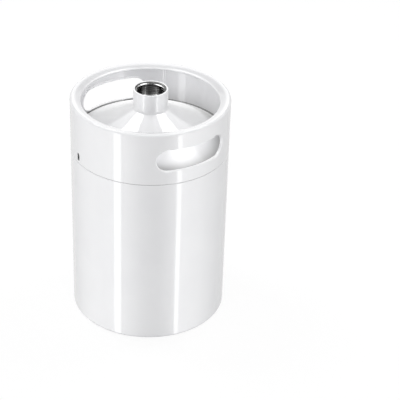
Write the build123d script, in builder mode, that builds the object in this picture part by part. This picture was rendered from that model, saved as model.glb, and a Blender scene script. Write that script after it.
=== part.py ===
import os
from math import atan2, cos, degrees, radians, sin, sqrt, tan

from build123d import *

os.makedirs("parts", exist_ok=True)

# Main sizes, in millimetres and degrees
body_diameter = 175.0
shell_height = 199.9
collar_height = 59.6
neck_above_rim = 9.7
sheet = 1.0
head_sheet = 1.2
slip = 0.1

# Foot of the shell, turned in under the body
foot_bend = 2.0
foot_width = 9.0

# Fine groove where the collar meets the shell, and how deep the weld lies in it
root_gap = 0.8
groove_edge = 0.3
girth_weld_depth = 0.3

# Collar lip, turned in and down, with its edge folded under
rim_bend = 2.6
lip_slope = 20.0
lip_width = 8.1
hem_radius = 1.4
hem_return = 4.0

# Hand holes, measured straight across, with edges turned in
hand_hole_width = 82.2
hand_hole_height = 25.5
hand_hole_rise = 15.2
hand_hole_bend = 2.0
hand_hole_lip = 3.0

# Drain slots, a little more than a quarter turn from the hand holes, with a low sill above the crevice
drain_width = 5.7
drain_height = 9.8
drain_sill = 1.8
drain_turn = 4.5

# Top head: flange that steps in above the seam to leave a gap for draining, rounded shoulder and cone
flange_below_seam = 8.0
flange_above_seam = 0.3
step_bend = 3.0
step_angle = 40.0
knuckle_rise = 9.8
knuckle_radius = 5.0
cone_slope = 28.0

# Bottom head: shallow dish with a rounded edge and an upright flange
crown_height = 5.0
crown_radius = 300.0
dish_knuckle = 10.0
dish_flange = 10.0

# Neck, a tube around a parallel pipe thread of one inch nominal size
thread_major = 33.249
thread_pitch = 2.309
thread_depth = 1.479
thread_flank = 27.5
thread_length = 15.5
relief_width = 3.0
relief_depth = 0.25
bore_overlap = 0.2
mouth_flare = 0.6
neck_wall = 2.4
neck_edge = 0.4
neck_below_cone = 5.0

# Weld beads
neck_weld_rise = 3.0
neck_weld_reach = 1.2
neck_weld_hollow = 0.25
head_weld_leg = 2.0
seam_bead_width = 4.0
seam_bead_height = 0.8
seam_bead_gap = 0.5
seam_bead_clearance = 0.3
collar_seam_angle = 137.0
shell_seam_angle = 320.0

# Radii and heights that several pieces share
body_radius = body_diameter / 2
inner_radius = body_radius - sheet
flange_radius = inner_radius - slip
major_radius = thread_major / 2
minor_radius = major_radius - thread_depth
neck_radius = major_radius + neck_wall
collar_foot = shell_height + root_gap
rim_height = collar_foot + collar_height
neck_height = rim_height + neck_above_rim
flange_bottom = shell_height - flange_below_seam
step_height = collar_foot + flange_above_seam
shoulder_radius = flange_radius - 2 * step_bend * (1 - cos(radians(step_angle)))
knuckle_height = collar_foot + knuckle_rise
knuckle_centre = shoulder_radius - knuckle_radius
slope = radians(cone_slope)
cone_start_radius = knuckle_centre + knuckle_radius * sin(slope)
cone_start_height = knuckle_height + knuckle_radius * cos(slope)
cone_at_neck = cone_start_height + (cone_start_radius - neck_radius) * tan(slope)

# Body shell: a tube whose lower edge turns in to make the foot
with BuildPart() as body_shell:
    with BuildSketch(Plane.XZ):
        with BuildLine():
            foot = Line((body_radius - foot_width, 0), (body_radius - foot_bend, 0))
            bend = JernArc(foot @ 1, (1, 0), foot_bend, 90)
            Line(bend @ 1, (body_radius, shell_height))
            offset(amount=sheet, side=Side.LEFT)
        make_face()
    revolve(axis=Axis.Z)
    shell_edge = body_shell.edges().group_by(Axis.Z)[-1].sort_by(SortBy.RADIUS)[-1]
    chamfer(shell_edge, groove_edge)

# Turned-in edges of the two hand holes, as rings of sheet bounded by the collar's wall
lip_end = body_radius - hand_hole_lip
hand_hole_bottom = collar_foot + hand_hole_rise
hand_hole_centre = hand_hole_bottom + hand_hole_height / 2
with BuildPart() as hand_hole_edges:
    with BuildSketch(Plane.XY.offset(hand_hole_bottom - 2 * sheet)):
        Circle(body_radius - sheet / 2)
        Circle(lip_end, mode=Mode.SUBTRACT)
    extrude(amount=hand_hole_height + 4 * sheet)
    with BuildSketch(Plane.YZ):
        with Locations((0, hand_hole_centre)):
            SlotOverall(hand_hole_width + 2 * sheet, hand_hole_height + 2 * sheet)
    extrude(amount=body_diameter, both=True, mode=Mode.INTERSECT)

# Collar: rolled sheet with a folded lip, hand holes on X and drain slots turned a little from Y
with BuildPart() as collar:
    with BuildSketch(Plane.XZ.rotated((0, 0, collar_seam_angle))):
        with BuildLine():
            wall = Line((body_radius, collar_foot), (body_radius, rim_height - rim_bend))
            turn = JernArc(wall @ 1, (0, 1), rim_bend, 90 + lip_slope)
            lip = PolarLine(turn @ 1, lip_width, 180 + lip_slope)
            hem = JernArc(lip @ 1, lip % 1, hem_radius, 180)
            PolarLine(hem @ 1, hem_return, lip_slope)
            offset(amount=sheet, side=Side.LEFT)
        make_face()
    revolve(axis=Axis.Z)
    collar_edge = collar.edges().group_by(Axis.Z)[0].sort_by(SortBy.RADIUS)[-1]
    chamfer(collar_edge, groove_edge)
    add(hand_hole_edges.part)
    with BuildSketch(Plane.YZ):
        with Locations((0, hand_hole_centre)):
            SlotOverall(hand_hole_width, hand_hole_height)
    extrude(amount=body_diameter, both=True, mode=Mode.SUBTRACT)
    inside_wall = collar.faces().filter_by(GeomType.CYLINDER).sort_by(SortBy.AREA)[-2]
    fillet(inside_wall.inner_wires().edges(), hand_hole_bend - sheet)
    outside_wall = collar.faces().filter_by(GeomType.CYLINDER).sort_by(SortBy.AREA)[-1]
    fillet(outside_wall.inner_wires().edges(), hand_hole_bend)
    with BuildSketch(Plane.XZ.rotated((0, 0, -drain_turn))):
        with Locations((0, step_height + drain_sill + drain_height / 2)):
            SlotOverall(drain_height, drain_width, rotation=90)
    extrude(amount=body_diameter, both=True, mode=Mode.SUBTRACT)

# Girth weld: the ring that joins shell and collar, a little below their surface
with BuildPart() as girth_weld:
    with BuildSketch(Plane.XY.offset(shell_height + slip)):
        Circle(body_radius - girth_weld_depth)
        Circle(inner_radius + slip, mode=Mode.SUBTRACT)
    extrude(amount=root_gap - 2 * slip)

# Top head: flange inside the shell and collar, step, shoulder, and cone up to the neck
with BuildPart() as top_head:
    with BuildSketch(Plane.XZ):
        with BuildLine():
            flange = Line((flange_radius, flange_bottom), (flange_radius, step_height))
            step_in = JernArc(flange @ 1, (0, 1), step_bend, step_angle)
            step_up = JernArc(step_in @ 1, step_in % 1, step_bend, -step_angle)
            side = Line(step_up @ 1, (shoulder_radius, knuckle_height))
            shoulder = JernArc(side @ 1, (0, 1), knuckle_radius, 90 - cone_slope)
            Line(shoulder @ 1, (neck_radius, cone_at_neck))
            offset(amount=head_sheet, side=Side.LEFT)
        make_face()
    revolve(axis=Axis.Z)
    Hole(neck_radius + slip)

# Thread groove, wound up from the relief groove and out past the mouth
thread_bottom = neck_height - thread_length
groove_bottom = thread_bottom - relief_width / 2
groove_rise = neck_height + thread_pitch - groove_bottom
flank_lean = tan(radians(thread_flank))
root_half = thread_pitch / 4 - thread_depth * flank_lean / 2
open_half = root_half + (thread_depth + bore_overlap) * flank_lean
with BuildPart() as thread_groove:
    with BuildLine():
        winding = Helix(thread_pitch, groove_rise, minor_radius, center=(0, 0, groove_bottom))
    with BuildSketch(Plane(winding @ 0, x_dir=(1, 0, 0), z_dir=winding % 0)):
        with BuildLine():
            Polyline(
                (-bore_overlap, open_half),
                (thread_depth, root_half),
                (thread_depth, -root_half),
                (-bore_overlap, -open_half),
                close=True,
            )
        make_face()
    sweep(path=winding, is_frenet=True)

# Neck: tube through the cone, threaded from its flared mouth down to a relief groove
neck_bottom = cone_at_neck - neck_below_cone - head_sheet / cos(slope)
mouth_radius = major_radius + mouth_flare
flare_radius = minor_radius - bore_overlap
relief_radius = major_radius + relief_depth
with BuildPart() as neck:
    with BuildSketch(Plane.XY.offset(neck_bottom)):
        Circle(neck_radius)
        Circle(minor_radius, mode=Mode.SUBTRACT)
    extrude(amount=neck_height - neck_bottom)
    add(thread_groove.part, mode=Mode.SUBTRACT)
    with BuildSketch(Plane.XY.offset(thread_bottom)):
        Circle(relief_radius)
    extrude(amount=-relief_width, mode=Mode.SUBTRACT)
    with Locations((0, 0, neck_height)):
        Cone(
            flare_radius,
            mouth_radius,
            mouth_radius - flare_radius,
            align=(Align.CENTER, Align.CENTER, Align.MAX),
            mode=Mode.SUBTRACT,
        )
    neck_top = neck.edges().group_by(Axis.Z)[-1].sort_by(SortBy.RADIUS)[-1]
    chamfer(neck_top, neck_edge)

# Neck weld: slightly hollow fillet between the neck and the cone
with BuildPart() as neck_weld:
    with BuildSketch(Plane.XZ):
        with BuildLine():
            corner = Vector(neck_radius, cone_at_neck)
            top = corner + Vector(0, neck_weld_rise)
            toe = corner + Vector(cos(slope), -sin(slope)) * neck_weld_reach
            Line(corner, toe)
            SagittaArc(toe, top, neck_weld_hollow)
            Line(top, corner)
        make_face()
    revolve(axis=Axis.Z)

# Bottom head: dish that hangs inside the shell, clear of the floor
crown_centre = crown_height + crown_radius
dish_edge = flange_radius - dish_knuckle
dish_knuckle_height = crown_centre - sqrt((crown_radius - dish_knuckle) ** 2 - dish_edge**2)
crown_angle = degrees(atan2(dish_knuckle_height - crown_centre, dish_edge))
dish_top = dish_knuckle_height + dish_flange
with BuildPart() as bottom_head:
    with BuildSketch(Plane.XZ):
        with BuildLine():
            CenterArc((0, crown_centre), crown_radius, -90, 90 + crown_angle)
            CenterArc((dish_edge, dish_knuckle_height), dish_knuckle, crown_angle, -crown_angle)
            Line((flange_radius, dish_knuckle_height), (flange_radius, dish_top))
            offset(amount=head_sheet, side=Side.LEFT)
        make_face()
    revolve(axis=Axis.Z)


# Weld between the shell and the edge of a head's flange, on the side that the step points to
def head_weld(edge_height, step):
    with BuildPart() as bead:
        with BuildSketch(Plane.XZ):
            with BuildLine():
                Polyline(
                    (inner_radius, edge_height),
                    (inner_radius - head_weld_leg, edge_height),
                    (inner_radius, edge_height + step * head_weld_leg),
                    close=True,
                )
            make_face()
        revolve(axis=Axis.Z)
    return bead


top_head_weld = head_weld(flange_bottom, -1)
bottom_head_weld = head_weld(dish_top, 1)


# Upright weld bead on the inside of a rolled sheet, round in section
def seam_weld(angle, bottom, top):
    bead_radius = (seam_bead_width**2 / 4 + seam_bead_height**2) / (2 * seam_bead_height)
    seat_radius = inner_radius - seam_bead_clearance
    bead_centre = seat_radius - seam_bead_height + bead_radius
    with BuildPart() as bead:
        with BuildSketch(Plane.XY.offset(bottom)):
            Circle(seat_radius)
            with PolarLocations(bead_centre, 1, start_angle=angle):
                Circle(bead_radius, mode=Mode.INTERSECT)
        extrude(amount=top - bottom)
    return bead


shell_bead_bottom = dish_top + head_weld_leg + seam_bead_gap
shell_bead_top = flange_bottom - head_weld_leg - seam_bead_gap
shell_seam_weld = seam_weld(shell_seam_angle, shell_bead_bottom, shell_bead_top)
collar_bead_bottom = knuckle_height + seam_bead_gap
collar_seam_weld = seam_weld(collar_seam_angle, collar_bead_bottom, rim_height - rim_bend)

# Each piece in its own file, under its own name
pieces = {
    "body_shell": body_shell,
    "collar": collar,
    "girth_weld": girth_weld,
    "top_head": top_head,
    "neck": neck,
    "neck_weld": neck_weld,
    "bottom_head": bottom_head,
    "top_head_weld": top_head_weld,
    "bottom_head_weld": bottom_head_weld,
    "shell_seam_weld": shell_seam_weld,
    "collar_seam_weld": collar_seam_weld,
}
for name, piece in pieces.items():
    piece.part.label = name
    export_step(piece.part, f"parts/{name}.step")
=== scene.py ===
from math import asin, atan2, cos, hypot, pi, radians, sin, sqrt, tan

import bmesh
import bpy
from mathutils import Matrix, Vector


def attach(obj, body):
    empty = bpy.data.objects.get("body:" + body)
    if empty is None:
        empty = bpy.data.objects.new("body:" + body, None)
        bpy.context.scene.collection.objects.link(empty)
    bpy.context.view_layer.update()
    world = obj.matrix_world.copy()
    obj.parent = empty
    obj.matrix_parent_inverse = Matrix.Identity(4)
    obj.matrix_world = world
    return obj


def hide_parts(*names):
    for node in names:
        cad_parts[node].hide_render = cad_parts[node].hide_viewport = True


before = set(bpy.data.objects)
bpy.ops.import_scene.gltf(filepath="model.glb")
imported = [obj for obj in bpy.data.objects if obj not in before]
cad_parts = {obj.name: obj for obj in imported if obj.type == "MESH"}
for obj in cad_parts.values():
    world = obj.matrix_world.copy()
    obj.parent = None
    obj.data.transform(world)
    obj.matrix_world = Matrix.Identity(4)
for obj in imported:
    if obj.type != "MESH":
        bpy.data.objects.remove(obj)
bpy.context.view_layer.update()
print("frame loaded:", len(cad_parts), "CAD pieces")

# lengths in the piece settings are millimetres
keg = {"radius": 87.5, "sheet": 1.0, "headSheet": 1.2}
inside = keg["radius"] - keg["sheet"]
# steps of a full turn, segments of a wide bend and a small one, and how close counts as touching
fineness = {
    "steps": 240, "guard": 0.5, "wideBend": 1, "wideSegments": 12, "smallSegments": 4,
    "near": 0.01, "merged": 0.001, "cut": 0.0005,
}


def newMaterial(name):
    material = bpy.data.materials.new(name)
    material.use_nodes = True
    tree = material.node_tree
    return material, tree, tree.nodes["Principled BSDF"]


# a value that runs smoothly from low to high between two ends
def addFade(tree, value, start, end, low, high):
    fade = tree.nodes.new("ShaderNodeMapRange")
    fade.interpolation_type = "SMOOTHSTEP"
    fade.inputs["From Min"].default_value = start
    fade.inputs["From Max"].default_value = end
    fade.inputs["To Min"].default_value = low
    fade.inputs["To Max"].default_value = high
    tree.links.new(value, fade.inputs["Value"])
    return fade.outputs["Result"]


def addNoise(tree, place, scale, detail):
    noise = tree.nodes.new("ShaderNodeTexNoise")
    noise.inputs["Scale"].default_value = scale
    noise.inputs["Detail"].default_value = detail
    tree.links.new(place, noise.inputs["Vector"])
    return noise.outputs["Fac"]


# colour that runs from dark to light with the noise
def addTint(tree, shader, noise, ends, dark, light):
    tint = tree.nodes.new("ShaderNodeValToRGB")
    for stop, spot, colour in zip(tint.color_ramp.elements, ends, (dark, light)):
        stop.position = spot
        stop.color = colour
    tree.links.new(noise, tint.inputs["Fac"])
    tree.links.new(tint.outputs["Color"], shader.inputs["Base Color"])
    return tint.outputs["Color"]


# roughness that wanders a little with the noise
def addRoughness(tree, shader, noise, middle, spread):
    rough = tree.nodes.new("ShaderNodeMapRange")
    rough.inputs["To Min"].default_value = middle - spread
    rough.inputs["To Max"].default_value = middle + spread
    tree.links.new(noise, rough.inputs["Value"])
    tree.links.new(rough.outputs["Result"], shader.inputs["Roughness"])


def addBump(tree, noise, strength, depth, normal):
    bump = tree.nodes.new("ShaderNodeBump")
    bump.inputs["Strength"].default_value = strength
    bump.inputs["Distance"].default_value = depth
    tree.links.new(noise, bump.inputs["Height"])
    tree.links.new(bump.outputs["Normal"], normal)


def addMix(tree, share, first, second):
    mix = tree.nodes.new("ShaderNodeMixShader")
    tree.links.new(share, mix.inputs["Fac"])
    tree.links.new(first.outputs[0], mix.inputs[1])
    tree.links.new(second.outputs[0], mix.inputs[2])
    return mix


# white coat: gloss paint with a fine orange peel
coat = {
    "white": (0.875, 0.877, 0.89, 1),
    "shade": (0.85, 0.852, 0.868, 1),
    "clouds": 22,
    "cloudDetail": 3,
    "cloudEnds": (0.35, 0.65),
    "roughness": 0.32,
    "roughSpread": 0.04,
    "gloss": 0.035,
    "coatIor": 1.8,
    "peel": 380,
    "peelDetail": 1,
    "peelStrength": 0.2,
    "peelDepth": 0.00002,
}
# down in the well the coat lands dull, and the colour darkens there as painted shade, towards the cone's
# edge under the lip and low on the collar's inside; the ends are metres from the axis or of height, and
# "measure" weighs x, y and z, so that the cone's dull ring is a little oval
dullAndShade = {
    "cone": {
        "measure": (0.92, 1.08, 0), "paintedShade": (0.065, 0.081), "paintedLight": 0.27,
        "dull": (0.036, 0.074), "gloss": 0.272,
    },
    "wall": {"measure": (0, 0, 1), "paintedShade": (0.2146, 0.2132), "paintedLight": 0.12},
}


# the colour is scaled down by distance as painted shade; where a dull range is given, the coat roughness
# rises too
def addDullAndShade(tree, shader, place, colour, dullShade):
    weigh = tree.nodes.new("ShaderNodeVectorMath")
    weigh.operation = "MULTIPLY"
    weigh.inputs[1].default_value = dullShade["measure"]
    tree.links.new(place, weigh.inputs[0])
    far = tree.nodes.new("ShaderNodeVectorMath")
    far.operation = "LENGTH"
    tree.links.new(weigh.outputs["Vector"], far.inputs[0])
    paintedShade = addFade(tree, far.outputs["Value"], *dullShade["paintedShade"], 1, dullShade["paintedLight"])
    shadedColour = tree.nodes.new("ShaderNodeVectorMath")
    shadedColour.operation = "SCALE"
    tree.links.new(colour, shadedColour.inputs[0])
    tree.links.new(paintedShade, shadedColour.inputs["Scale"])
    tree.links.new(shadedColour.outputs["Vector"], shader.inputs["Base Color"])
    if "dull" in dullShade:
        dull = addFade(tree, far.outputs["Value"], *dullShade["dull"], coat["gloss"], dullShade["gloss"])
        tree.links.new(dull, shader.inputs["Coat Roughness"])


# a tone below 1 is painted shade on the coat, and above 1 a painted highlight
def makeWhiteCoat(name, paintedLight=1, weight=1, dullShade=None):
    material, tree, shader = newMaterial(name)
    shader.inputs["Coat Weight"].default_value = weight
    shader.inputs["Coat Roughness"].default_value = coat["gloss"]
    shader.inputs["Coat IOR"].default_value = coat["coatIor"]
    place = tree.nodes.new("ShaderNodeTexCoord").outputs["Object"]
    clouds = addNoise(tree, place, coat["clouds"], coat["cloudDetail"])
    shade = Vector(coat["shade"]) * paintedLight
    white = Vector(coat["white"]) * paintedLight
    colour = addTint(tree, shader, clouds, coat["cloudEnds"], shade, white)
    if dullShade:
        addDullAndShade(tree, shader, place, colour, dullShade)
    addRoughness(tree, shader, clouds, coat["roughness"], coat["roughSpread"])
    peel = addNoise(tree, place, coat["peel"], coat["peelDetail"])
    addBump(tree, peel, coat["peelStrength"], coat["peelDepth"], shader.inputs["Coat Normal"])
    return material


# bare steel: turned or rolled, with fine rings round the axis
steel = {
    "light": (0.42, 0.42, 0.415, 1),
    "dark": (0.14, 0.14, 0.14, 1),
    "roughness": 0.07,
    "roughSpread": 0.03,
    "rings": (30, 30, 900),
    "ringDetail": 4,
    "ringEnds": (0.3, 0.7),
    "ringStrength": 0.25,
    "ringDepth": 0.00003,
}


def makeBareSteel():
    material, tree, shader = newMaterial("bareSteel")
    shader.inputs["Metallic"].default_value = 1
    place = tree.nodes.new("ShaderNodeTexCoord").outputs["Object"]
    stretch = tree.nodes.new("ShaderNodeMapping")
    stretch.inputs["Scale"].default_value = steel["rings"]
    tree.links.new(place, stretch.inputs["Vector"])
    rings = addNoise(tree, stretch.outputs["Vector"], 1, steel["ringDetail"])
    addTint(tree, shader, rings, steel["ringEnds"], steel["dark"], steel["light"])
    addRoughness(tree, shader, rings, steel["roughness"], steel["roughSpread"])
    addBump(tree, rings, steel["ringStrength"], steel["ringDepth"], shader.inputs["Normal"])
    return material


# dull steel down in the joint, where no coat reaches: the steel is bare there, and its near-black is
# painted shade of the crevice
scale = {
    "light": (0.04, 0.04, 0.042, 1),
    "dark": (0.02, 0.02, 0.022, 1),
    "specular": 0.2,
    "roughness": 0.7,
    "roughSpread": 0.1,
    "spots": 260,
    "spotDetail": 4,
    "spotEnds": (0, 1),
}


def makeShadeSteel():
    material, tree, shader = newMaterial("dullSteel")
    shader.inputs["Specular IOR Level"].default_value = scale["specular"]
    place = tree.nodes.new("ShaderNodeTexCoord").outputs["Object"]
    spots = addNoise(tree, place, scale["spots"], scale["spotDetail"])
    addTint(tree, shader, spots, scale["spotEnds"], scale["dark"], scale["light"])
    addRoughness(tree, shader, spots, scale["roughness"], scale["roughSpread"])
    return material


whiteCoat = makeWhiteCoat("whiteCoat")
# the cone gets painted shade towards its edge, under the collar's lip
headCoat = makeWhiteCoat("headCoat", dullShade=dullAndShade["cone"])
# the collar's inside gets painted shade low down, by the crevice
insideCoat = makeWhiteCoat("insideCoat", weight=0.65, dullShade=dullAndShade["wall"])
# the girth weld's coat is darker: painted shade of its groove
seamShadeCoat = makeWhiteCoat("seamShadeCoat", paintedLight=0.5)
# the hand holes' bends get a lighter coat: a painted highlight
edgeHighlightCoat = makeWhiteCoat("edgeHighlightCoat", paintedLight=1.1)
bareSteel = makeBareSteel()
dullSteel = makeShadeSteel()
print("materials made")


def reach(vert):
    return hypot(vert.co.x, vert.co.y)


def onRing(edge, radius, height):
    near = fineness["near"]
    return all(abs(reach(v) - radius) < near and abs(v.co.z - height) < near for v in edge.verts)


def newVerts(geom):
    return [g for g in geom if isinstance(g, bmesh.types.BMVert)]


def roundEdges(bm, edges, offset, segments):
    bmesh.ops.bevel(
        bm, geom=edges, offset=offset, offset_type="OFFSET", segments=segments,
        profile=0.5, affect="EDGES", material=-1,
    )


# turns a profile of (radius, height, bend) round the axis, then rounds its bends
def turnProfile(bm, profile, closed, steps=fineness["steps"], guard=fineness["guard"]):
    count = len(profile)
    spots = [Vector(p[:2]) for p in profile]
    tangents = []
    for i, p in enumerate(profile):
        back = spots[i - 1] - spots[i]
        ahead = spots[(i + 1) % count] - spots[i]
        tangents.append(p[2] * tan((pi - back.angle(ahead)) / 2) if p[2] else 0)
    path = []
    for i, spot in enumerate(spots):
        path.append(spot)
        if i == count - 1 and not closed:
            break
        step = spots[(i + 1) % count] - spot
        near, far = tangents[i], tangents[(i + 1) % count]
        if step.length > near + far + 4 * guard:  # rows beside a bend keep the flat parts flat
            if near:
                path.append(spot + step.normalized() * (near + guard))
            if far:
                path.append(spot + step.normalized() * (step.length - far - guard))
    start = [bm.verts.new((p.x, 0, p.y)) for p in path]
    wire = [bm.edges.new(pair) for pair in zip(start, start[1:])]
    if closed:
        wire.append(bm.edges.new((start[-1], start[0])))
    bmesh.ops.spin(
        bm, geom=start + wire, cent=(0, 0, 0), axis=(0, 0, 1), angle=2 * pi, steps=steps, use_merge=True
    )
    bmesh.ops.remove_doubles(bm, verts=bm.verts, dist=fineness["merged"])
    bmesh.ops.recalc_face_normals(bm, faces=bm.faces)
    for (radius, height, bend), tangent in zip(profile, tangents):
        if tangent:
            ring = [e for e in bm.edges if onRing(e, radius, height)]
            wide = bend > fineness["wideBend"]
            roundEdges(bm, ring, tangent, fineness["wideSegments" if wide else "smallSegments"])


# on an open sheet, outwards is away from the axis
def faceOutwards(bm):
    bm.normal_update()
    bmesh.ops.recalc_face_normals(bm, faces=bm.faces)
    wall = max(bm.faces, key=lambda f: f.calc_center_median().xy.length)
    if wall.normal.xy.dot(wall.calc_center_median().xy) < 0:
        bmesh.ops.reverse_faces(bm, faces=bm.faces)


# mesh in millimetres to a smooth piece in metres that stands for a CAD node
def addPiece(bm, name, node, materials, sharp=38, mirrored=False):
    for face in bm.faces:
        face.smooth = True
    bmesh.ops.scale(bm, vec=(0.001, 0.001, 0.001), verts=bm.verts)
    mesh = bpy.data.meshes.new(name)
    bm.to_mesh(mesh)
    bm.free()
    mesh.set_sharp_from_angle(angle=radians(sharp))
    for material in materials:
        mesh.materials.append(material)
    piece = bpy.data.objects.new(name, mesh)
    piece.visible_glossy = mirrored  # elsewhere gloss shows the light tent alone
    bpy.context.scene.collection.objects.link(piece)
    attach(piece, "root")
    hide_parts(node)
    print("made", name, "with", len(mesh.polygons), "faces")


# body: straight wall with the foot turned in under it
body = {
    "top": 199.9, "edge": 0.3, "edgeBend": 0.15, "foot": 9.0, "footBend": 2.0, "footEdge": 0.25,
    "coatedInside": 30, "bareWithin": 0.1,
}


def makeBody():
    bm = bmesh.new()
    r = keg["radius"]
    turnProfile(bm, [
        (r - body["foot"], 0, body["footEdge"]),
        (r, 0, body["footBend"]),
        (r, body["coatedInside"], 0),
        (r, body["top"] - body["edge"], body["edgeBend"]),
        (r - body["edge"], body["top"], body["edgeBend"]),
        (inside, body["top"], 0),
        (inside, body["coatedInside"], 0),
        (inside, keg["sheet"], body["footBend"] - keg["sheet"]),
        (r - body["foot"], keg["sheet"], body["footEdge"]),
    ], closed=True)
    for face in bm.faces:  # the inside of the vessel is bare
        spot = face.calc_center_median()
        within = hypot(spot.x, spot.y) < inside + body["bareWithin"]
        face.material_index = int(within and spot.z > body["coatedInside"])
    addPiece(bm, "kegBody", "body_shell", [whiteCoat, bareSteel])


# collar: ring of sheet with a folded lip, two hand holes and two drain slots
collar = {
    "foot": 200.7,
    "edge": 0.3,
    "edgeSegments": 3,
    "rows": (201.25, 204, 207, 210, 214, 217.5, 221, 224.5, 228, 231.5, 235, 238.5, 242, 245.5, 249, 253),
    "rim": 260.3,
    "rimBend": 2.6,
    "lipSlopes": (12, 28),
    "lipBend": 23.0,
    "hem": (75.1, 256.9),
    "hemRadius": 1.4,
    "hemReturn": 4.0,
    "insideLean": -0.9,
}
# a window is half its width in degrees, then its lowest and highest row
handHole = {
    "length": 82.2, "height": 25.5, "centre": 228.65, "upright": False, "lip": 3.0,
    "bend": 2.0, "bendSegments": 8, "bendLeans": (0.05, 0.99),
    "border": 4.0, "round": 64, "rings": 4, "window": (33, 210, 249), "angles": (0, 180),
}
drain = {
    "length": 9.8, "height": 5.7, "centre": 207.7, "upright": True, "lip": 0,
    "border": 0, "round": 16, "rings": 3, "window": (6, 201.25, 214), "angles": (85.5, 265.5),
}


# sets a ring of verts at a distance from the slot's middle line, on the wall or in from it
def placeRing(verts, slot, radius, depth):
    half = (slot["length"] - slot["height"]) / 2
    halfY, halfZ = (0, half) if slot["upright"] else (half, 0)
    for v in verts:
        midY = max(-halfY, min(halfY, v.co.y))
        midZ = max(-halfZ, min(halfZ, v.co.z - slot["centre"]))
        out = Vector((v.co.y - midY, v.co.z - slot["centre"] - midZ)).normalized() * radius
        y = midY + out.x
        v.co = (sqrt((keg["radius"] - depth) ** 2 - y * y), y, slot["centre"] + midZ + out.y)


# opens a window in the wall on +X and fills it with rings of faces round the slot
def cutSlot(bm, slot):
    halfAngle, low, high = slot["window"]
    lean = tan(radians(halfAngle))
    radius = slot["height"] / 2
    half = (slot["length"] - slot["height"]) / 2
    gone = []
    for face in bm.faces:
        spot = face.calc_center_median()
        if low < spot.z < high and abs(spot.y) < spot.x * lean:
            gone.append(face)
    bmesh.ops.delete(bm, geom=gone, context="FACES")
    past, wider = 0.1, 1.05  # the window's own edges lie a little outside the faces that went
    window = []
    for edge in bm.edges:
        spot = (edge.verts[0].co + edge.verts[1].co) / 2
        beside = low - past < spot.z < high + past and abs(spot.y) < spot.x * lean * wider
        if edge.is_boundary and beside:
            window.append(edge)
    turn = Matrix.Translation((0, 0, slot["centre"])) @ Matrix.Rotation(pi / 2, 4, "Y")
    turn = turn @ Matrix.Rotation(pi / slot["round"], 4, "Z")
    bmesh.ops.create_circle(bm, segments=slot["round"], radius=radius + slot["border"], matrix=turn)
    circle = [v for v in bm.verts if not v.link_faces]
    for side in (1, -1):
        if slot["upright"]:
            moved = [v for v in circle if (v.co.z - slot["centre"]) * side > 0]
            bmesh.ops.translate(bm, verts=moved, vec=(0, 0, side * half))
        else:
            moved = [v for v in circle if v.co.y * side > 0]
            bmesh.ops.translate(bm, verts=moved, vec=(0, side * half, 0))
    straight = [e for e in bm.edges if e.is_wire and e.calc_length() > half]
    bmesh.ops.subdivide_edges(bm, edges=straight, cuts=(len(window) - slot["round"]) // 2)
    ring = {v for v in bm.verts if not v.link_faces}
    ringEdges = [e for e in bm.edges if e.is_wire]
    placeRing(ring, slot, radius + slot["border"], 0)
    bmesh.ops.bridge_loops(bm, edges=window + ringEdges)
    spokes = [e for v in ring for e in v.link_edges if e.other_vert(v) not in ring]
    split = bmesh.ops.subdivide_edges(bm, edges=spokes, cuts=slot["rings"], use_grid_fill=True)
    for v in newVerts(split["geom_inner"]):
        v.co.xy = v.co.xy.normalized() * keg["radius"]
    if slot["lip"]:
        corner = bmesh.ops.extrude_edge_only(bm, edges=ringEdges)["geom"]
        placeRing(newVerts(corner), slot, radius, 0)
        cornerEdges = [e for e in corner if isinstance(e, bmesh.types.BMEdge) and e.is_boundary]
        tip = bmesh.ops.extrude_edge_only(bm, edges=cornerEdges)["geom"]
        placeRing(newVerts(tip), slot, radius, slot["lip"])
        roundEdges(bm, cornerEdges, slot["bend"], slot["bendSegments"])


def makeCollar():
    bm = bmesh.new()
    r = keg["radius"]
    outer, inner = (radians(degrees) for degrees in collar["lipSlopes"])
    inward = Vector((-cos(inner), -sin(inner)))
    under = Vector((sin(inner), -cos(inner)))
    rim = Vector((r, collar["rim"] - collar["rimBend"] + collar["rimBend"] * tan((pi / 2 + outer) / 2)))
    hem = Vector(collar["hem"])
    across, drop = rim - hem
    back = (across * tan(inner) - drop) / (tan(inner) - tan(outer))
    crown = rim - Vector((back, back * tan(outer)))  # the lip is crowned between the rim and the hem
    fold = hem + under * (2 * collar["hemRadius"])
    end = fold - inward * (collar["hemRadius"] + collar["hemReturn"])
    hemBend = collar["hemRadius"] - fineness["near"]
    turnProfile(
        bm,
        [(r, collar["foot"], 0)] + [(r, z, 0) for z in collar["rows"]]
        + [(*rim, collar["rimBend"]), (*crown, collar["lipBend"])]
        + [(*hem, hemBend), (*fold, hemBend), (*end, 0)],
        closed=False,
    )
    for slot in (handHole, drain):
        for angle in slot["angles"]:
            turn = Matrix.Rotation(radians(angle), 3, "Z")
            bmesh.ops.rotate(bm, verts=bm.verts, matrix=turn.inverted(), cent=(0, 0, 0))
            cutSlot(bm, slot)
            bmesh.ops.rotate(bm, verts=bm.verts, matrix=turn, cent=(0, 0, 0))
    faceOutwards(bm)
    bmesh.ops.solidify(bm, geom=bm.faces[:], thickness=keg["sheet"])
    footEdges = [e for e in bm.edges if onRing(e, r, collar["foot"])]
    roundEdges(bm, footEdges, collar["edge"], collar["edgeSegments"])
    leanLow, leanHigh = handHole["bendLeans"]
    for face in bm.faces:  # the coat is thinner on the inside, with painted shade low in the well, and the bends of the hand holes carry a painted highlight
        spot = face.calc_center_median()
        lean = face.normal.xy.dot(spot.xy) / spot.xy.length
        besideHole = abs(spot.z - handHole["centre"]) < handHole["height"]
        if spot.z < collar["hem"][1] and lean < collar["insideLean"]:
            face.material_index = 1
        elif besideHole and leanLow < lean < leanHigh:
            face.material_index = 2
    addPiece(bm, "kegCollar", "collar", [whiteCoat, insideCoat, edgeHighlightCoat])


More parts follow.
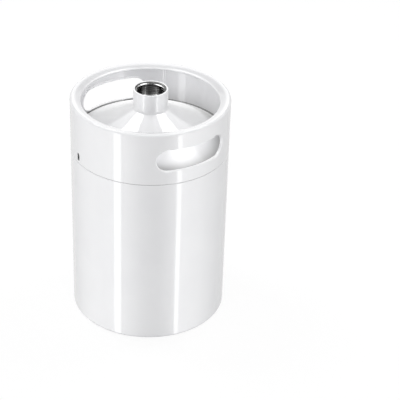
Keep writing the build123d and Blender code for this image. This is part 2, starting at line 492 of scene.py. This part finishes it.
# both heads are bare where a face turns from the outward way by more than the limit
bareSide = {"rise": 60, "limit": -0.2}


def onVesselSide(face, up):
    spot = face.calc_center_median()
    outward = Vector((spot.x, spot.y, up * bareSide["rise"])).normalized()
    return face.normal.dot(outward) < bareSide["limit"]


# top head: flange that steps in from the collar, small knuckle and cone
top = {
    "flange": 86.4, "low": 191.9, "edge": 0.2, "step": 201.0, "stepAngle": 40,
    "stepBend": 3.0, "stepEase": 0.98,  # the two bends of the step just miss each other
    # the head is painted near-black below 212 mm, as shade of the crevice
    "knuckle": 5.0, "knuckleHeight": 210.5, "slope": 28.0, "hole": 19.1245, "shadeBelow": 212.0,
}


# one side of the head's sheet, set in from the outside
def headSide(inset):
    slope = radians(top["slope"])
    turn = radians(top["stepAngle"])
    flange = top["flange"] - inset
    shoulder = flange - 2 * top["stepBend"] * (1 - cos(turn))
    stepEnd = top["step"] + 2 * top["stepBend"] * sin(turn)
    lowBend = top["stepBend"] - inset
    highBend = top["stepBend"] + inset
    knuckle = top["knuckle"] - inset
    corner = top["knuckleHeight"] + knuckle * tan((pi / 2 - slope) / 2)
    return [
        (flange, top["low"], top["edge"]),
        (flange, top["step"] + lowBend * tan(turn / 2), lowBend * top["stepEase"]),
        (shoulder, stepEnd - highBend * tan(turn / 2), highBend * top["stepEase"]),
        (shoulder, corner, knuckle),
        (top["hole"], corner + (shoulder - top["hole"]) * tan(slope), 0),
    ]


def makeTopHead():
    bm = bmesh.new()
    turnProfile(bm, headSide(0) + headSide(keg["headSheet"])[::-1], closed=True)
    for face in bm.faces:  # bare on the vessel's side, and near-black down in the joint as painted shade of the crevice
        if onVesselSide(face, 1):
            face.material_index = 1
        elif face.calc_center_median().z < top["shadeBelow"]:
            face.material_index = 2
    addPiece(bm, "kegTop", "top_head", [headCoat, bareSteel, dullSteel])


# neck: tube with a pipe thread, a relief groove below it and a flared mouth
neck = {
    "outside": 19.0245, "top": 270.0, "bottom": 242.223, "edge": 0.4, "footEdge": 0.3, "row": 260,
    "major": 16.6245, "minor": 15.1455, "pitch": 2.309, "crest": 0.3846, "flank": 0.7699, "turns": 10,
    "threadLow": 254.5, "reliefLow": 251.5, "relief": 16.8745, "mouth": 17.2245, "land": 17.9,
    "join": 0.3, "bareWithin": 0.1, "steps": 120, "guard": 0.2, "sharp": 30,
}


def openEdges(bm, low, high):
    return [e for e in bm.edges if e.is_boundary and all(low < v.co.z < high for v in e.verts)]


def makeNeck():
    bm = bmesh.new()
    crest, flank, pitch = neck["crest"], neck["flank"], neck["pitch"]
    brim, threadLow = neck["top"], neck["threadLow"]
    near, join = fineness["near"], neck["join"]
    tooth = [(neck["minor"], 0), (neck["minor"], crest), (neck["major"], crest + flank)]
    tooth += [(neck["major"], 2 * crest + flank), (neck["minor"], pitch)]
    start = [bm.verts.new((r, 0, threadLow - pitch + z)) for r, z in tooth]
    wire = [bm.edges.new(pair) for pair in zip(start, start[1:])]
    bmesh.ops.spin(
        bm, geom=start + wire, cent=(0, 0, 0), axis=(0, 0, 1), dvec=(0, 0, pitch / neck["steps"]),
        angle=2 * pi * neck["turns"], steps=neck["steps"] * neck["turns"],
    )
    bmesh.ops.remove_doubles(bm, verts=bm.verts, dist=fineness["merged"])
    for height, up in ((threadLow, -1), (brim, 1)):
        bmesh.ops.bisect_plane(
            bm, geom=bm.verts[:] + bm.edges[:] + bm.faces[:], dist=fineness["cut"],
            plane_co=(0, 0, height), plane_no=(0, 0, up), clear_outer=True,
        )
    for v in bm.verts:  # the mouth's flare takes the crests off the last turn
        least = neck["mouth"] - (brim - v.co.z)
        if reach(v) < least:
            v.co.xy = v.co.xy.normalized() * least
    lowLoop = openEdges(bm, threadLow - near, threadLow + near)
    topLoop = openEdges(bm, brim - near, brim + near)
    for loop, radius in ((lowLoop, neck["relief"]), (topLoop, neck["land"])):
        grown = newVerts(bmesh.ops.extrude_edge_only(bm, edges=loop)["geom"])
        for v in grown:
            v.co.xy = v.co.xy.normalized() * radius
    turnProfile(bm, [
        (neck["land"] + join, brim, 0),
        (neck["outside"], brim, neck["edge"]),
        (neck["outside"], neck["row"], 0),
        (neck["outside"], neck["bottom"], neck["footEdge"]),
        (neck["minor"], neck["bottom"], neck["footEdge"]),
        (neck["minor"], neck["reliefLow"], 0),
        (neck["relief"], neck["reliefLow"], 0),
        (neck["relief"], threadLow - join, 0),
    ], closed=False, steps=neck["steps"], guard=neck["guard"])
    for low, high in ((brim, brim), (threadLow - join, threadLow)):
        bmesh.ops.bridge_loops(bm, edges=openEdges(bm, low - near, high + near))
    bmesh.ops.recalc_face_normals(bm, faces=bm.faces)
    for face in bm.faces:  # the bore and its thread are bare
        spot = face.calc_center_median()
        face.material_index = int(hypot(spot.x, spot.y) < neck["mouth"] - neck["bareWithin"])
    addPiece(
        bm, "kegNeck", "neck", [whiteCoat, bareSteel], sharp=neck["sharp"], mirrored=True
    )


# bottom head: shallow dish with a rounded edge and an upright flange
dish = {
    "low": 5.0, "crown": 300.0, "crownSteps": 16, "knuckle": 10.0, "knuckleSteps": 12,
    "edge": 76.4, "knuckleHeight": 25.245, "top": 35.245, "steps": 120,
}


def makeBottomHead():
    bm = bmesh.new()
    arc = asin(dish["edge"] / (dish["crown"] - dish["knuckle"]))
    tip = bm.verts.new((0, 0, dish["low"]))
    crown = bmesh.ops.spin(
        bm, geom=[tip], cent=(0, 0, dish["low"] + dish["crown"]), axis=(0, -1, 0),
        angle=arc, steps=dish["crownSteps"],
    )["geom_last"]
    knuckle = bmesh.ops.spin(
        bm, geom=crown, cent=(dish["edge"], 0, dish["knuckleHeight"]), axis=(0, -1, 0),
        angle=pi / 2 - arc, steps=dish["knuckleSteps"],
    )["geom_last"]
    flange = bmesh.ops.extrude_vert_indiv(bm, verts=newVerts(knuckle))["verts"]
    bmesh.ops.translate(bm, verts=flange, vec=(0, 0, dish["top"] - dish["knuckleHeight"]))
    bmesh.ops.spin(
        bm, geom=bm.verts[:] + bm.edges[:], cent=(0, 0, 0), axis=(0, 0, 1), angle=2 * pi,
        steps=dish["steps"], use_merge=True,
    )
    bmesh.ops.remove_doubles(bm, verts=bm.verts, dist=fineness["merged"])
    faceOutwards(bm)
    bmesh.ops.solidify(bm, geom=bm.faces[:], thickness=keg["headSheet"])
    for face in bm.faces:  # bare on the vessel's side
        face.material_index = int(onVesselSide(face, -1))
    addPiece(bm, "kegBottom", "bottom_head", [whiteCoat, bareSteel])


weldLook = {"stepsPerRipple": 6, "sharp": 50}
# welds that run round the keg: profile, and how far the torch's ripples stand out from the root
ringWelds = {
    "neck_weld": {
        "name": "weldNeck", "coat": whiteCoat, "slot": "white_coat", "ripples": 84, "depth": 0.035,
        "profile": [(18.95, 248.4), (19.0245, 251.582), (19.315, 249.73), (20.084, 248.019), (19.5, 248.2)],
        "root": (19.0245, 248.582),
    },
    # the girth weld's darker coat is painted shade of its groove
    "girth_weld": {
        "name": "weldGirth", "coat": seamShadeCoat, "slot": "white_coat", "ripples": 240, "depth": 0.1,
        "profile": [(86.6, 200.05), (86.6, 200.55), (87.1, 200.55), (87.2, 200.3), (87.1, 200.05)],
        "root": (86.6, 200.3),
    },
    "top_head_weld": {
        "name": "weldTop", "coat": bareSteel, "slot": "bare_steel", "ripples": 240, "depth": 0.06,
        "profile": [(86.5, 191.9), (84.5, 191.9), (85.35, 190.75), (86.5, 189.9)],
        "root": (86.5, 191.9),
    },
    "bottom_head_weld": {
        "name": "weldBottom", "coat": bareSteel, "slot": "bare_steel", "ripples": 240, "depth": 0.06,
        "profile": [(86.5, 35.245), (84.5, 35.245), (85.35, 36.395), (86.5, 37.245)],
        "root": (86.5, 35.245),
    },
}


def makeRingWeld(node, weld):
    bm = bmesh.new()
    steps = weld["ripples"] * weldLook["stepsPerRipple"]
    turnProfile(bm, [(r, z, 0) for r, z in weld["profile"]], closed=True, steps=steps)
    rootRadius, rootHeight = weld["root"]
    for v in bm.verts:
        angle = atan2(v.co.y, v.co.x)
        lift = 1 - weld["depth"] * abs(sin(angle * weld["ripples"] / 2)) ** 2
        radius = rootRadius + (reach(v) - rootRadius) * lift
        v.co.xy = v.co.xy.normalized() * radius
        v.co.z = rootHeight + (v.co.z - rootHeight) * lift
    addPiece(bm, weld["name"], node, [weld["coat"]], sharp=weldLook["sharp"])


# upright welds on the inside of the rolled sheets
seamWelds = {
    "collar_seam_weld": {
        "name": "seamCollar", "coat": whiteCoat, "slot": "white_coat",
        "angle": 137, "low": 211.0, "high": 257.7,
    },
    "shell_seam_weld": {
        "name": "seamBody", "coat": bareSteel, "slot": "bare_steel",
        "angle": 320, "low": 37.75, "high": 189.4,
    },
}
seam = {
    "width": 4.0, "height": 1.1, "ripple": 1.6, "rippleDepth": 0.1, "rippleBow": 0.5, "runOut": 2,
    "columns": 12, "rowsPerRipple": 8, "front": 0.02, "back": 0.3,
}


def makeSeamWeld(node, weld):
    bm = bmesh.new()
    length = weld["high"] - weld["low"]
    rows = round(length / seam["ripple"] * seam["rowsPerRipple"])
    bmesh.ops.create_grid(bm, x_segments=seam["columns"], y_segments=rows, size=1)
    turn = Matrix.Rotation(radians(weld["angle"]), 3, "Z")
    for v in bm.verts:
        across, along = v.co.x, (v.co.y + 1) / 2 * length
        arc = 1 - across * across
        ripple = (along + seam["rippleBow"] * arc) / seam["ripple"]
        end = min(1, along / seam["runOut"], (length - along) / seam["runOut"])
        bulge = seam["height"] * sqrt(max(0, 1 - (1 - end) ** 2))
        bulge -= seam["rippleDepth"] * abs(sin(pi * ripple))
        spread = across * seam["width"] / 2 / inside
        radius = inside + seam["front"] - max(0, bulge) * arc
        v.co = turn @ Vector((radius * cos(spread), radius * sin(spread), weld["low"] + along))
    back = newVerts(bmesh.ops.extrude_face_region(bm, geom=bm.faces[:])["geom"])
    for v in back:
        v.co.xy = v.co.xy.normalized() * (inside + seam["back"])
    bmesh.ops.recalc_face_normals(bm, faces=bm.faces)
    addPiece(bm, weld["name"], node, [weld["coat"]], sharp=weldLook["sharp"])


makeBody()
makeCollar()
makeTopHead()
makeNeck()
makeBottomHead()
for node, weld in ringWelds.items():
    makeRingWeld(node, weld)
for node, weld in seamWelds.items():
    makeSeamWeld(node, weld)

# camera at the photograph's viewing angle
view = {
    "lens": 120.55, "sensor": 36, "azimuth": 54.48, "elevation": 31.593, "roll": 2.009,
    "spot": (1.08441, -0.7037, 0.9253),
}
camera = bpy.data.objects.new("camera", bpy.data.cameras.new("camera"))
camera.data.lens = view["lens"]
camera.data.sensor_width = view["sensor"]
camera.matrix_world = (
    Matrix.Translation(view["spot"])
    @ Matrix.Rotation(radians(view["azimuth"]), 4, "Z")
    @ Matrix.Rotation(radians(90 - view["elevation"]), 4, "X")
    @ Matrix.Rotation(radians(view["roll"]), 4, "Z")
)
bpy.context.scene.collection.objects.link(camera)
bpy.context.scene.camera = camera
print("camera set")

# floor: white to the camera, with the keg's shadow kept; its radius is in metres
floorLook = {
    "radius": 8.0, "segments": 96, "colour": (0.85, 0.85, 0.85, 1),
    "shadowed": (0.25, 0.25, 0.25, 1), "glow": 0.79,
}


def makeFloor():
    bm = bmesh.new()
    bmesh.ops.create_circle(
        bm, cap_ends=True, segments=floorLook["segments"], radius=floorLook["radius"]
    )
    mesh = bpy.data.meshes.new("floor")
    bm.to_mesh(mesh)
    bm.free()
    material, tree, shader = newMaterial("floorWhite")
    tree.nodes.remove(shader)
    path = tree.nodes.new("ShaderNodeLightPath")
    plain = tree.nodes.new("ShaderNodeBsdfDiffuse")
    plain.inputs["Color"].default_value = floorLook["colour"]
    shadow = tree.nodes.new("ShaderNodeBsdfDiffuse")
    shadow.inputs["Color"].default_value = floorLook["shadowed"]
    glow = tree.nodes.new("ShaderNodeEmission")
    glow.inputs["Strength"].default_value = floorLook["glow"]
    both = tree.nodes.new("ShaderNodeAddShader")
    tree.links.new(shadow.outputs["BSDF"], both.inputs[0])
    tree.links.new(glow.outputs["Emission"], both.inputs[1])
    mix = addMix(tree, path.outputs["Is Camera Ray"], plain, both)
    tree.links.new(mix.outputs["Shader"], tree.nodes["Material Output"].inputs["Surface"])
    mesh.materials.append(material)
    floor = bpy.data.objects.new("floor", mesh)
    floor.visible_glossy = False  # the gloss shows the light tent all the way down
    bpy.context.scene.collection.objects.link(floor)


makeFloor()

# light tent: levels by direction in degrees, from the camera's side to the right
# "rise" is where a band takes over from the one below it: -1 is straight down and 1 straight up
tent = {
    "front": -32.98,
    "white": (0.98, 0.98, 0.98, 1),
    "light": ((-180, 0.95), (-90, 1.18), (0, 1.25), (90, 1.0), (180, 0.95)),
    "overhead": {"rise": (0.45, 0.75), "share": 0.46},
    "below": ((-180, 0.12), (180, 0.12)),
    "cloth": {
        "rise": (-0.82, -0.7),
        "levels": (
            (-180, 1.1), (-172, 1.1), (-166, 0.84), (-156, 0.84), (-136, 0.8), (-122, 0.97), (-90, 1.54),
            (-60, 1.75), (-53, 1.75), (-52, 3.4), (-42.5, 3.4), (-41.5, 1.5), (-34, 1.4), (-21, 1.0),
            (-10, 0.6), (0, 0.4), (12, 0.3), (21, 0.45), (34, 0.9), (40, 1.3), (40.8, 3.4), (46.6, 3.4),
            (47.4, 1.9), (75, 1.55), (100, 1.0), (122, 0.68), (150, 0.7), (166, 0.8), (172, 1.1),
            (180, 1.1),
        ),
    },
    "plain": {
        "rise": (-0.15, 0.05),
        "levels": (
            (-180, 1.1), (-172, 1.1), (-166, 0.84), (-100, 0.9), (0, 0.7), (100, 0.9), (166, 0.8),
            (172, 1.1), (180, 1.1),
        ),
    },
    "canopy": {
        "rise": (0.44, 0.52),
        "levels": (
            (-180, 0.25), (-147, 0.25), (-141, 2.1), (-128, 1.9), (-120, 1.5), (-85, 1.5), (-60, 1.7),
            (60, 1.7), (85, 1.5), (120, 1.5), (128, 1.9), (141, 2.1), (147, 0.25), (180, 0.25),
        ),
    },
    "patches": (
        {"azimuth": 180, "heights": (90,), "radius": 8, "soft": 2, "level": 1.9},
        {"azimuth": 180, "heights": (22, 33, 44, 53), "radius": 9, "soft": 4, "level": 2.3},
    ),
}


# a background whose level follows the direction
def addCloth(tree, share, levels):
    brightest = max(level for degrees, level in levels)
    ramp = tree.nodes.new("ShaderNodeValToRGB")
    stops = ramp.color_ramp.elements
    for i, (degrees, level) in enumerate(levels):
        spot = (degrees + 180) / 360
        last = i == len(levels) - 1
        stop = stops[0] if i == 0 else stops[-1] if last else stops.new(spot)
        stop.position = spot
        stop.color = (level / brightest,) * 3 + (1,)
    tree.links.new(share.outputs["Result"], ramp.inputs["Fac"])
    cloth = tree.nodes.new("ShaderNodeBackground")
    cloth.inputs["Strength"].default_value = brightest
    tree.links.new(ramp.outputs["Color"], cloth.inputs["Color"])
    return cloth


# a round glow with a soft edge, over what is seen there without it
def addPatch(tree, direction, seen, patch, height):
    azimuth, height = radians(patch["azimuth"]), radians(height)
    far = cos(radians(patch["radius"] + patch["soft"]))
    near = cos(radians(patch["radius"] - patch["soft"]))
    glow = tree.nodes.new("ShaderNodeBackground")
    glow.inputs["Strength"].default_value = patch["level"]
    toward = tree.nodes.new("ShaderNodeVectorMath")
    toward.operation = "DOT_PRODUCT"
    toward.inputs[1].default_value = (cos(azimuth) * cos(height), sin(azimuth) * cos(height), sin(height))
    tree.links.new(direction, toward.inputs[0])
    edge = addFade(tree, toward.outputs["Value"], far, near, 0, 1)
    return addMix(tree, edge, seen, glow)


def makeTent():
    world = bpy.data.worlds.new("lightTent")
    bpy.context.scene.world = world
    world.use_nodes = True
    tree = world.node_tree
    place = tree.nodes.new("ShaderNodeTexCoord")
    turn = tree.nodes.new("ShaderNodeMapping")
    turn.inputs["Rotation"].default_value[2] = radians(-tent["front"])
    tree.links.new(place.outputs["Generated"], turn.inputs["Vector"])
    split = tree.nodes.new("ShaderNodeSeparateXYZ")
    tree.links.new(turn.outputs["Vector"], split.inputs["Vector"])
    angle = tree.nodes.new("ShaderNodeMath")
    angle.operation = "ARCTAN2"
    tree.links.new(split.outputs["Y"], angle.inputs[0])
    tree.links.new(split.outputs["X"], angle.inputs[1])
    share = tree.nodes.new("ShaderNodeMapRange")
    share.inputs["From Min"].default_value = -pi
    share.inputs["From Max"].default_value = pi
    tree.links.new(angle.outputs["Value"], share.inputs["Value"])
    light = addCloth(tree, share, tent["light"])
    level = light.inputs["Strength"].default_value
    overhead = tent["overhead"]
    dim = addFade(tree, split.outputs["Z"], *overhead["rise"], level, level * overhead["share"])
    tree.links.new(dim, light.inputs["Strength"])
    seen = addCloth(tree, share, tent["below"])
    for band in (tent["cloth"], tent["plain"], tent["canopy"]):
        above = addFade(tree, split.outputs["Z"], *band["rise"], 0, 1)
        seen = addMix(tree, above, seen, addCloth(tree, share, band["levels"]))
    for patch in tent["patches"]:
        for height in patch["heights"]:
            seen = addPatch(tree, turn.outputs["Vector"], seen, patch, height)
    white = tree.nodes["Background"]
    white.inputs["Color"].default_value = tent["white"]
    path = tree.nodes.new("ShaderNodeLightPath")
    shiny = tree.nodes.new("ShaderNodeMath")
    shiny.operation = "MAXIMUM"
    tree.links.new(path.outputs["Is Glossy Ray"], shiny.inputs[0])
    tree.links.new(path.outputs["Is Transmission Ray"], shiny.inputs[1])
    lit = addMix(tree, shiny.outputs["Value"], light, seen)
    mix = addMix(tree, path.outputs["Is Camera Ray"], lit, white)
    tree.links.new(mix.outputs["Shader"], tree.nodes["World Output"].inputs["Surface"])


makeTent()

# two soft boxes above the keg, left and right; directions as in the tent, and lengths in metres
softBoxes = {
    "reach": 1.6, "length": 0.54, "width": 0.36, "level": 4.0,
    "spot": (-0.22, 0.354, 0.91), "along": (-0.263, 0.283, -0.175),
}


def makeSoftBox(name, side):
    turn = Matrix.Rotation(radians(tent["front"]), 3, "Z")
    flip = Vector((1, side, 1))
    up = (turn @ (Vector(softBoxes["spot"]) * flip)).normalized()
    along = turn @ (Vector(softBoxes["along"]) * flip)
    along = (along - up * along.dot(up)).normalized()
    lamp = bpy.data.lights.new(name, "AREA")
    lamp.shape = "RECTANGLE"
    lamp.size = softBoxes["length"]
    lamp.size_y = softBoxes["width"]
    lamp.energy = pi * lamp.size * lamp.size_y * softBoxes["level"]
    box = bpy.data.objects.new(name, lamp)
    facing = Matrix((along, up.cross(along), up)).transposed()
    box.matrix_world = Matrix.Translation(up * softBoxes["reach"]) @ facing.to_4x4()
    bpy.context.scene.collection.objects.link(box)


makeSoftBox("softBoxLeft", -1)
makeSoftBox("softBoxRight", 1)
bpy.context.scene.view_settings.view_transform = "Standard"
print("floor and light tent made")
